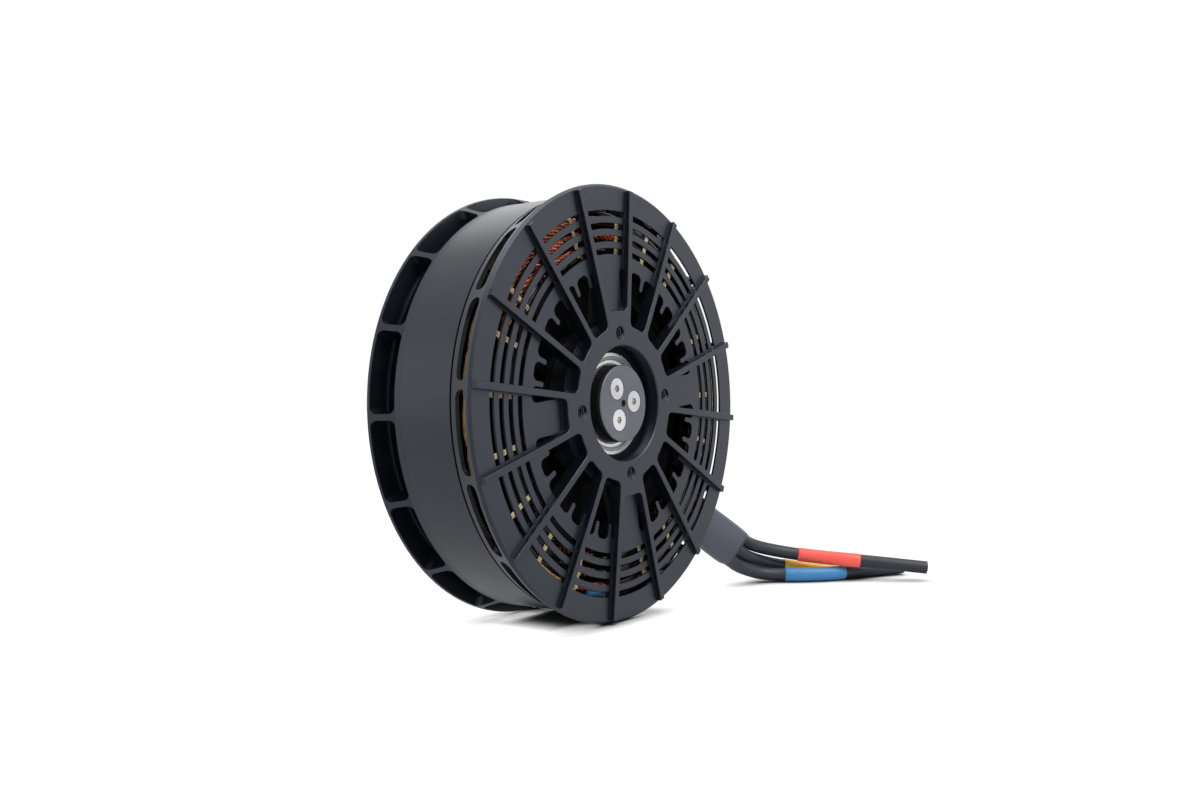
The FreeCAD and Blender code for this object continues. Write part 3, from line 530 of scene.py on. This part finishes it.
# %% [markdown]
# ## Flat sleeve
# Where the leads leave the motor, one wide shrink sleeve holds the three side by side. Its
# section is a flat oval: a circle pulled apart sideways. Rings of it are set along the middle
# lead's line and bridged, once for the outside and once for the inside, which gives a wall. The
# far end is cut slanted, so the last rings lean more and more, and the near end stays square.

# %% Flat sleeve over the three leads
sleeve_route = [(0.0705, 0.0109, -0.0567), (0.0756, 0.0109, -0.0608), (0.0828, 0.0109, -0.0644),
                (0.1130, 0.0109, -0.0795), (0.1251, 0.0109, -0.0856)]
sleeve_half_thick, sleeve_half_wide, sleeve_wall = 0.00425, 0.01155, 0.00055
sleeve_length, sleeve_slant = 0.0485, 0.62
sleeve_sides, sleeve_steps = 32, 24
sleeve_points = points_of(sleeve_route)
lean = Matrix(((1, 0, 0, 0), (0, 1, 0, 0), (0, sleeve_slant, 1, 0), (0, 0, 0, 1)))


def flat_ring(bm, place, shrink):
    """A ring of points pulled out sideways, so that it becomes a flat oval."""
    ring = ring_of_points(bm, sleeve_sides, sleeve_half_thick - shrink, Matrix())
    for side in (1, -1):
        half = [v for v in ring if v.co.y * side > 1e-6]
        pull = side * (sleeve_half_wide - sleeve_half_thick)
        bmesh.ops.translate(bm, verts=half, vec=(0, pull, 0))
    bmesh.ops.transform(bm, matrix=place, verts=ring)
    return ring


bm = bmesh.new()
walls = []
for shrink in (0, sleeve_wall):
    rings = []
    for i in range(sleeve_steps + 1):
        place = station(sleeve_points, sleeve_length * i / sleeve_steps)
        share = (i / sleeve_steps) ** 3
        rings.append(flat_ring(bm, place @ Matrix().lerp(lean, share), shrink))
    for ring, following in zip(rings, rings[1:]):
        bridged(bm, ring, following)
    walls.append(rings)
for end in (0, -1):
    bridged(bm, walls[0][end], walls[1][end])
sleeve = made("flat_shrink_sleeve", bm, "stator", "shrink_grey", shrink_grey)
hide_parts("lead_sleeve")

# %% [markdown]
# ## Cut ends
# The leads are cut off square. Their strands lie in circles of one, six, twelve and more, as in
# any round cable, and each is a small six-sided rod that stands a little out of the insulation.
# Each lead then rides on the stator.

# %% Strands at the cut ends
strand_radius = 0.00024
strand_pitch = strand_radius * 2.05
strand_circles, strand_sides = 5, 6
strand_out, strand_in = 0.0004, 0.0006
for colour, points in lead_points.items():
    end = station(points, length_of(points) - 1e-6)
    outwards = end.to_3x3() @ Vector((0, 0, strand_in + strand_out))
    bm = bmesh.new()
    for circle in range(strand_circles):
        count = 1 if circle == 0 else 6 * circle
        reach = circle * strand_pitch
        for i in range(count):
            angle = math.tau * i / count
            spot = (reach * math.cos(angle), reach * math.sin(angle), -strand_in)
            place = end @ Matrix.Translation(spot)
            ring = ring_of_points(bm, strand_sides, strand_radius, place)
            capped(bm, ring)
            top = extruded(bm, ring)
            bmesh.ops.translate(bm, verts=top, vec=outwards)
            capped(bm, top)
    made(colour + "_lead_strands", bm, "stator", "enamelled_copper", tinned_strand)

for colour, lead in leads.items():
    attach(lead, "stator")
    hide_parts(colour + "_lead")

# %% [markdown]
# ## Coils
# Each of the 36 teeth carries a coil. In the solids it is one rounded block, but a real coil is
# turn after turn of wire bundle, and the turns show through the openings of the base. One turn is
# a flattened ring carried round the tooth, corner by corner, and closed. It is then copied along
# the tooth, and every third tooth gets the same phase.

# %% Coils
tooth_count = 36
tooth_first = 6.2
tooth_step = 360 / tooth_count
turns = 12
coil_inner_r, coil_outer_r = 0.0675, 0.0851
coil_front_y, coil_rear_y = 0.0130, 0.0505
coil_half_width = 0.0045
wire_half = (0.00125, 0.00070)
coil_bend = 0.0026


def coil_corner_stations():
    """(y, z, angle outwards) at each point of one turn's middle line: four at each corner."""
    front = coil_front_y + wire_half[0] + coil_bend
    rear = coil_rear_y - wire_half[0] - coil_bend
    side = coil_half_width - coil_bend
    out = []
    corners = ((rear, side, 0), (front, side, 90), (front, -side, 180), (rear, -side, 270))
    for y, z, first in corners:
        for deg in (first, first + 30, first + 60, first + 90):
            a = math.radians(deg)
            out.append((y + coil_bend * math.cos(a), z + coil_bend * math.sin(a), a))
    return out


def one_turn(bm, r):
    """A flat bundle of wire once round the tooth on +X, at the radius r."""
    first = ring = before = None
    for y, z, a in coil_corner_stations():
        outward = Vector((0, math.cos(a), math.sin(a)))
        ahead = Vector((0, -math.sin(a), math.cos(a)))
        now = matrix_of((wire_half[1], 0, 0), outward * wire_half[0], ahead, (r, y, z))
        if ring is None:
            first = ring = ring_of_points(bm, 8, 1, now)
        else:
            ring = extruded(bm, ring)
            bmesh.ops.transform(bm, matrix=now @ before.inverted(), verts=ring)
        before = now
    bridged(bm, first, ring)


coil_pitch = (coil_outer_r - coil_inner_r) / turns
for k, phase in enumerate("abc"):
    bm = bmesh.new()
    one_turn(bm, coil_inner_r + coil_pitch / 2)
    turn_geom = everything(bm)
    for i in range(1, turns):
        copied(bm, turn_geom, Matrix.Translation((coil_pitch * i, 0, 0)))
    coil_geom = everything(bm)
    bmesh.ops.transform(bm, matrix=about_axis(tooth_first + tooth_step * k), verts=bm.verts)
    for i in range(1, tooth_count // 3):
        copied(bm, coil_geom, about_axis(3 * tooth_step * i))
    coils = made("phase_" + phase + "_windings", bm, "stator", "enamelled_copper", winding_copper)
    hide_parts("phase_" + phase + "_coils")

# %% [markdown]
# ## Connection bundles
# Over the end turns run three bundles of wire that join the coils of each phase. Where they are
# bare they show twisted orange-red strands round a black core, which is painted shade between the
# strands, and elsewhere they lie in glossy black sleeving. Each ring of sleeving is open for a few
# degrees near the outlet. A twisted bundle grows from six small rings: all of them are extruded
# together, carried a step round the axis, and turned a little about the bundle's own middle.

# %% Wires that follow a circle
def twisted(bm, r, y, start, end, reach, thick, count, lay, step):
    """Strands twisted about a circle round the axis, from one angle to another.

    The strands lie within reach of the circle, and lay is their turn in degrees for each mm.
    """
    rings = []
    for n in range(count):
        a = math.tau * n / count
        off = reach - thick
        place = Matrix.Translation((r + math.cos(a) * off, y + math.sin(a) * off, 0))
        rings.append(ring_of_points(bm, 6, thick, about_axis(start) @ place))
    for ring in rings:
        capped(bm, ring)
    steps = max(1, round((end - start) / step))
    one_step = (end - start) / steps
    angle = start
    for _ in range(steps):
        rings = [extruded(bm, ring) for ring in rings]
        angle += one_step
        verts = [v for ring in rings for v in ring]
        bmesh.ops.transform(bm, matrix=about_axis(one_step), verts=verts)
        middle = about_axis(angle) @ Vector((r, y, 0))
        heading = about_axis(angle) @ Vector((0, 0, 1))
        twist = math.radians(lay * math.radians(one_step) * r / MM)
        bmesh.ops.rotate(bm, cent=middle, matrix=Matrix.Rotation(twist, 3, heading), verts=verts)
    for ring in rings:
        capped(bm, ring)


def sleeved(bm, r, y, start, end, thick, sides=16, step=4):
    """A round sleeve along the circle, with its two ends closed."""
    steps = max(2, round((end - start) / step))
    ring = ring_of_points(bm, sides, thick, about_axis(start) @ Matrix.Translation((r, y, 0)))
    capped(bm, ring)
    for _ in range(steps):
        ring = extruded(bm, ring)
        bmesh.ops.transform(bm, matrix=about_axis((end - start) / steps), verts=ring)
    capped(bm, ring)


def paint(bm, start, index):
    """Gives every face made since the start a material of the piece."""
    bm.faces.ensure_lookup_table()
    for face in bm.faces[start:]:
        face.material_index = index


print("wire helpers ready")

# %% Bundles
bundle_r = (0.0711, 0.0776, 0.0841)
bundle_y = 0.01075
bundle_reach = 0.0022
strand_r = 0.00066
strand_count = 6
turn_per_mm = 17
twist_step = 0.9
strand_overlap, shade_core_overlap = 0.5, 0.4
# Angles in degrees, phase by phase: where a bundle is bare, and where its ring is open.
bare_spans = (((96, 130), (238, 256)), ((84, 160), (244, 258)), ((98, 168), (252, 266)))
gaps = ((-28.8, -24.8), (-22.8, -18.8), (-16.8, -12.8))
for phase, r, spans, (gap_start, gap_end) in zip("abc", bundle_r, bare_spans, gaps):
    bm = bmesh.new()
    for low, high in spans:
        twisted(bm, r, bundle_y, low - strand_overlap, high + strand_overlap, bundle_reach,
                strand_r, strand_count, turn_per_mm, twist_step)
    # Painted shade: a black core under the strands darkens the gaps between them.
    shade_core_start = len(bm.faces)
    for low, high in spans:
        sleeved(bm, r, bundle_y, low - shade_core_overlap, high + shade_core_overlap,
                bundle_reach - 2 * strand_r, sides=8)
    angle = gap_end
    for low, high in spans + ((gap_start + 360, None),):
        sleeved(bm, r, bundle_y, angle, low, bundle_reach)
        angle = high
    paint(bm, shade_core_start, 1)
    bundle = made("phase_" + phase + "_bundle", bm, "stator", "enamelled_copper",
                  enamelled_copper, black_sleeving)
    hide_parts("phase_" + phase + "_link")

# %% [markdown]
# ## Strands beside the bundles
# A few thinner wires run beside the bundles, and the slots show them: pale yellow ones at the
# left of the rim, lengths in black or blue sleeving, and an olive strand beside the inner
# bundle. The black ones also close the view through the rim where the photograph is dark.
# They are made with the same two helpers, and each colour is painted as soon as it is grown.

# %% Strands beside the bundles
edge_r, edge_y = 0.0886, 0.0152
thin_sides = 10
# Each length is (radius, height, first angle, last angle, half its thickness).
black_lengths = ((edge_r, edge_y, -28, 128, 0.0016), (edge_r, edge_y, 264, 308, 0.0016),
                 (0.0888, 0.0098, -26, 20, 0.0014), (0.0925, 0.0098, -36, -27.5, 0.0013),
                 (0.0922, 0.0100, -63, -53.5, 0.0013))
blue_lengths = ((edge_r, edge_y, 256, 264, 0.0018), (0.0871, 0.0096, 257.5, 265.5, 0.0013))
bm = bmesh.new()
twisted(bm, edge_r, edge_y, 128, 256, reach=0.0024, thick=0.0011, count=3, lay=6, step=3)
sleeved(bm, 0.0853, 0.0091, 226, 251, 0.0005, sides=6)
for index, lengths in ((1, black_lengths), (2, blue_lengths)):
    painted_start = len(bm.faces)
    for r, y, start, end, thick in lengths:
        sleeved(bm, r, y, start, end, thick, sides=thin_sides)
    paint(bm, painted_start, index)
olive_start = len(bm.faces)
twisted(bm, 0.0681, 0.0104, 98, 131, reach=0.0008, thick=0.0003, count=4, lay=turn_per_mm,
        step=twist_step)
paint(bm, olive_start, 3)
made("outer_strands", bm, "stator", "enamelled_copper",
     yellow_wire, black_sleeving, marker_blue, olive_wire)

# %% [markdown]
# ## Lacing
# Waxed cord ties the bundles down to the end turns. Each tie is three turns of cord side by side
# that rise from the insulator, cross over the three bundles and go down again. A ring of points
# is carried along that arch, so the cord keeps its round section in the bends. The low inner
# legs get a dark finish, which is painted shade, because they lie in the dark. The ties of the
# front lie where the photograph shows them, a little uneven, and the rear has one on each tooth.

# %% Lacing
cord_r = 0.0004
cord_pitch = 2 * cord_r
shaded_leg_r, shaded_leg_y = 0.0698, 0.0490
front_tie_angles = (2.5, 23.9, 38, 51.7, 69, 86, 109, 128, 145, 159.2, 176.7, 194.4, 213, 231,
                    250.5, 267.6, 286.3, 304.5, 345.7)
rear_tie_angles = [tooth_first + tooth_step * i for i in range(tooth_count)]


def arch(bm, line, side):
    """A round cord along a line of (radius, height) points, beside the tooth's middle."""
    points = [Vector((r, y, side)) for r, y in line]
    before = None
    for i, point in enumerate(points):
        a = points[max(0, i - 1)]
        b = points[min(len(points) - 1, i + 1)]
        ahead = (b - a).normalized()
        across = Vector((0, 0, 1))
        over = across.cross(ahead)
        now = matrix_of(across, over, ahead, point)
        if before is None:
            ring = ring_of_points(bm, 6, cord_r, now)
            capped(bm, ring)
        else:
            ring = extruded(bm, ring)
            bmesh.ops.transform(bm, matrix=now @ before.inverted(), verts=ring)
        before = now
    capped(bm, ring)


front_arch = [(0.0671, 0.0176), (0.0670, 0.0110), (0.0676, 0.0090), (0.0692, 0.0082),
              (0.0730, 0.0082), (0.0744, 0.0088), (0.0757, 0.0082), (0.0796, 0.0082),
              (0.0809, 0.0088), (0.0822, 0.0082), (0.0858, 0.0082), (0.0868, 0.0092),
              (0.0869, 0.0110), (0.0868, 0.0176)]
rear_arch = [(0.0671, 0.0458), (0.0671, 0.0498), (0.0680, 0.0509), (0.0845, 0.0509),
             (0.0855, 0.0498), (0.0855, 0.0458)]
for name, line, angles in (("front_lacing_cord", front_arch, front_tie_angles),
                           ("rear_lacing_cord", rear_arch, rear_tie_angles)):
    bm = bmesh.new()
    for side in (-cord_pitch, 0, cord_pitch):
        arch(bm, line, side)
    tie_geom = everything(bm)
    bmesh.ops.transform(bm, matrix=about_axis(angles[0]), verts=bm.verts)
    for a in angles[1:]:
        copied(bm, tie_geom, about_axis(a - angles[0]))
    # Painted shade: the low inner legs get the dark lacing finish.
    for face in bm.faces:
        place = face.calc_center_median()
        if math.hypot(place.x, place.z) < shaded_leg_r and place.y < shaded_leg_y:
            face.material_index = 1
    cord = made(name, bm, "stator", "lacing_cord", lacing_cream, lacing_soaked)
    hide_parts(name.replace("_cord", ""))

# %% [markdown]
# ## Threads
# The four mounting holes of the base and the eight of the bell are tapped M6. The solids have
# plain holes at the outer diameter of the thread. A small triangle is spun around the hole while
# it moves along it, which leaves the ridges of the thread standing in from the wall.

# %% Threads
thread_pitch = 0.001
thread_outer, thread_inner = 0.00302, 0.00252
thread_flank = thread_pitch * 0.44
points_per_turn = 20


def thread(bm, centre, y0, y1):
    """Ridges in one hole along Y: a triangle spun with a step forward at each turn."""
    turns_in_hole = int((y1 - y0) / thread_pitch) - 1
    section = ((thread_outer, 0), (thread_inner, thread_flank), (thread_outer, 2 * thread_flank))
    corners = [bm.verts.new((centre[0] + r, y0 + y, centre[1])) for r, y in section]
    bmesh.ops.spin(bm, geom=[bm.faces.new(corners)], cent=(centre[0], 0, centre[1]), axis=(0, 1, 0),
                   dvec=(0, thread_pitch / points_per_turn, 0), angle=math.tau * turns_in_hole,
                   steps=points_per_turn * turns_in_hole, use_merge=False)


# Name, body, number of holes, radius of their circle, first angle, start and end along Y.
tapped_holes = (("mounting_threads", "stator", 4, 0.03235, 6.2, 0.0005, 0.0137),
                ("propeller_threads", "rotor", 8, 0.0300, 2.4, 0.0512, 0.0617))
for name, body, count, circle, first, y0, y1 in tapped_holes:
    bm = bmesh.new()
    for i in range(count):
        a = math.radians(first + 360 / count * i)
        thread(bm, (circle * math.cos(a), circle * math.sin(a)), y0, y1)
    made(name, bm, body, "anodised_black", thread_metal)

# %% [markdown]
# ## Bearing face
# Between the cap and the hub the front bearing shows. Its shield is a pressed disc: a rolled rim
# snaps into a groove of the outer ring, and inside that the sheet is dished, which draws the
# bright crescents. A thin black band in the groove is painted shade. Each ring is spun from one
# profile, because turned and pressed parts are round everywhere. The cap is one solid with one
# finish, but only its face is machined bright, so a thin spun skin gives its side the black of the
# anodising.

# %% Bearing face and the cap's side
def spun(name, profile, body, slot, material, sides=96, centre=(0, 0)):
    """A ring turned about an axis along Y from a closed profile of (radius, height) points."""
    bm = bmesh.new()
    corners = [bm.verts.new((centre[0] + r, y, centre[1])) for r, y in profile]
    edges = [bm.edges.new((a, b)) for a, b in zip(corners, corners[1:] + corners[:1])]
    bmesh.ops.spin(bm, geom=corners + edges, cent=(centre[0], 0, centre[1]), axis=(0, 1, 0),
                   angle=math.tau, steps=sides, use_merge=True)
    return made(name, bm, body, slot, material)


def band(inner, outer, y0, y1):
    """The profile of a plain ring: four corners."""
    return [(inner, y0), (outer, y0), (outer, y1), (inner, y1)]


dished_shield = [(0.01815, 0.00818), (0.01830, 0.00800), (0.01880, 0.00790), (0.01940, 0.00787),
                 (0.02000, 0.00792), (0.02040, 0.00802), (0.02060, 0.00818), (0.02055, 0.00822),
                 (0.01820, 0.00822)]
rolled_rim = [(0.02132, 0.00818), (0.02136, 0.00802), (0.02150, 0.00792), (0.02164, 0.00796),
              (0.02170, 0.00818), (0.02150, 0.00822)]
groove_shade_band = band(0.02176, 0.02196, 0.00778, 0.00786)
cap_side = band(0.01768, 0.01774, 0.0018, 0.0077)
spun("front_bearing_dished_shield", dished_shield, "stator", "bearing_shield", bearing_steel)
spun("front_bearing_rolled_rim", rolled_rim, "stator", "bearing_shield", bearing_steel)
# Painted shade: a thin black band stands for the shade in the groove.
spun("front_bearing_groove", groove_shade_band, "stator", "bearing_shield", black_sleeving)
spun("cap_side_skin", cap_side, "rotor", "anodised_grey", carrier_black)

# %% [markdown]
# ## Cap screws
# Three countersunk screws hold the cap. Round each head a thin black ring paints the shade of the
# fine gap, which shows better than a real gap of a tenth of a millimetre would at this distance.
# The hexagon sockets are filled with brown locking compound, so each holds a plug: a cone with six
# sides and two equal ends, which is a hexagonal bar.

# %% Cap screws
cap_face_y = 0.0013
cap_screw_circle, cap_screw_first = 0.0083, 6
shade_ring_inner, shade_ring_outer, shade_ring_rise, shade_ring_depth = 0.00498, 0.00528, 0.00003, 0.0003
socket_reach, plug_depth, plug_thick = 0.00168, 0.0006, 0.0004
upright = Matrix.Rotation(math.radians(90), 4, "X")
for i in range(3):
    deg = cap_screw_first + 120 * i
    a = math.radians(deg)
    # Painted shade: a thin black ring stands for the shade in the gap round the head.
    spun("cap_screw_gap_" + str(i + 1),
         band(shade_ring_inner, shade_ring_outer, cap_face_y - shade_ring_rise, cap_face_y + shade_ring_depth),
         "rotor", "anodised_grey", black_sleeving, sides=48,
         centre=(cap_screw_circle * math.cos(a), cap_screw_circle * math.sin(a)))
    bm = bmesh.new()
    seat = about_axis(deg) @ Matrix.Translation((cap_screw_circle, cap_face_y + plug_depth, 0))
    bmesh.ops.create_cone(bm, cap_ends=True, segments=6, radius1=socket_reach,
                          radius2=socket_reach, depth=plug_thick, matrix=seat @ upright)
    made("cap_screw_socket_" + str(i + 1), bm, "rotor", "bright_screw", socket_brown)

# %% [markdown]
# ## Studio
# The motor stands on a white floor against white. A lit sheet of paper would be grey at its far
# end, so the camera sees it glow by itself instead. The glow fades where the sky is hidden close
# by, which ambient occlusion measures, and that leaves the soft shadow under the rims and the
# leads. In reflections the floor glows less, as white paper under the same lamps would. The light
# that falls on the motor comes only from the lamps, the world and the plain paper.

# %% Floor
floor_z = -0.1003
floor_half_width = 8
contact_reach = 0.011
sky_hidden, sky_open = 0.36, 0.97
floor_glow = 1.16
mirrored_glow = 0.88
paper_share = 0.15
bm = bmesh.new()
bmesh.ops.create_grid(bm, x_segments=1, y_segments=1, size=floor_half_width,
                      matrix=Matrix.Translation((0, 0, floor_z)))
floor_mesh = bpy.data.meshes.new("floor")
bm.to_mesh(floor_mesh)
bm.free()
floor = bpy.data.objects.new("floor", floor_mesh)
bpy.context.scene.collection.objects.link(floor)
print("floor at", floor_z)

# %% Finish of the floor
def combined(tree, operation, *values):
    """A Math node on two or three numbers or sockets."""
    return wired(tree, "ShaderNodeMath", dict(enumerate(values)), operation=operation).outputs[0]


def seen_directly(tree):
    """1 for camera, mirror and glass rays, 0 for the light that falls on the object."""
    path = wired(tree, "ShaderNodeLightPath").outputs
    seen = combined(tree, "MAXIMUM", path["Is Camera Ray"], path["Is Glossy Ray"])
    return combined(tree, "MAXIMUM", seen, path["Is Transmission Ray"])


def blended(tree, share, first, second):
    """A share of the second shader over the first."""
    return wired(tree, "ShaderNodeMixShader",
                 {0: share, 1: first.outputs[0], 2: second.outputs[0]})


floor_white = bpy.data.materials.new("floor_white")
floor_white.use_nodes = True
tree = floor_white.node_tree
tree.nodes.remove(tree.nodes["Principled BSDF"])
paper = wired(tree, "ShaderNodeBsdfDiffuse", {"Color": (0.86, 0.86, 0.87, 1)})
open_sky = wired(tree, "ShaderNodeAmbientOcclusion",
                 {"Color": (1, 1, 1, 1), "Distance": contact_reach}, samples=16, only_local=False)
contact = ramp(tree, open_sky.outputs["AO"], sky_hidden, sky_open)
is_camera = wired(tree, "ShaderNodeLightPath").outputs["Is Camera Ray"]
glow = combined(tree, "MULTIPLY_ADD", is_camera, floor_glow - mirrored_glow, mirrored_glow)
strength = combined(tree, "MULTIPLY", contact, glow)
own_light = wired(tree, "ShaderNodeEmission", {"Color": (1, 1, 1, 1), "Strength": strength})
sheet = blended(tree, 1 - paper_share, paper, own_light)
chosen = blended(tree, seen_directly(tree), paper, sheet)
tree.links.new(chosen.outputs[0], tree.nodes["Material Output"].inputs["Surface"])
floor_mesh.materials.append(floor_white)
print("finish of the floor:", len(tree.nodes), "nodes")

# %% [markdown]
# ## World
# Behind the floor, the camera and the reflections see plain white. The light that the world casts
# is weaker and a little blue, and it fills the shadows evenly.

# %% World
world = bpy.data.worlds.new("studio")
bpy.context.scene.world = world
world.use_nodes = True
tree = world.node_tree
fill = tree.nodes["Background"]
fill.inputs["Color"].default_value = (0.80, 0.82, 0.86, 1)
fill.inputs["Strength"].default_value = 0.72
white = wired(tree, "ShaderNodeBackground", {"Color": (1, 1, 1, 1), "Strength": 1.0})
chosen = blended(tree, seen_directly(tree), fill, white)
tree.links.new(chosen.outputs[0], tree.nodes["World Output"].inputs["Surface"])
print("world:", world.name)

# %% [markdown]
# ## Lamps
# Black metal shows only what it mirrors. A large soft lamp in front and above draws the light band
# on the ring and lifts the ribs, a second from the top lights the upper edges, and three weak
# ones keep the sides and the back from going black.

# %% Lamps
def softbox(name, place, aim, size, watts):
    """A large flat lamp that looks at a point."""
    lamp = bpy.data.lights.new(name, "AREA")
    lamp.shape = "RECTANGLE"
    lamp.size, lamp.size_y = size
    lamp.energy = watts
    holder = bpy.data.objects.new(name, lamp)
    holder.location = place
    holder.rotation_mode = "QUATERNION"
    holder.rotation_quaternion = (Vector(aim) - Vector(place)).to_track_quat("-Z", "Y")
    bpy.context.scene.collection.objects.link(holder)


softbox("front_top_box", (0.02, -0.95, 1.10), (0.05, 0, 0), (1.0, 0.8), 13)
softbox("top_box", (0.25, -0.10, 1.25), (0.05, 0, 0), (1.0, 0.8), 4)
softbox("back_box", (0.70, 0.95, 0.90), (0, 0, 0), (0.8, 0.8), 1.6)
softbox("right_box", (0.65, -1.10, 0.10), (0, 0, 0), (0.8, 0.8), 1.2)
softbox("left_box", (-0.95, 0.65, 0.10), (0, 0, 0), (0.8, 0.8), 0.8)
print("lamps:", len(bpy.data.lights))
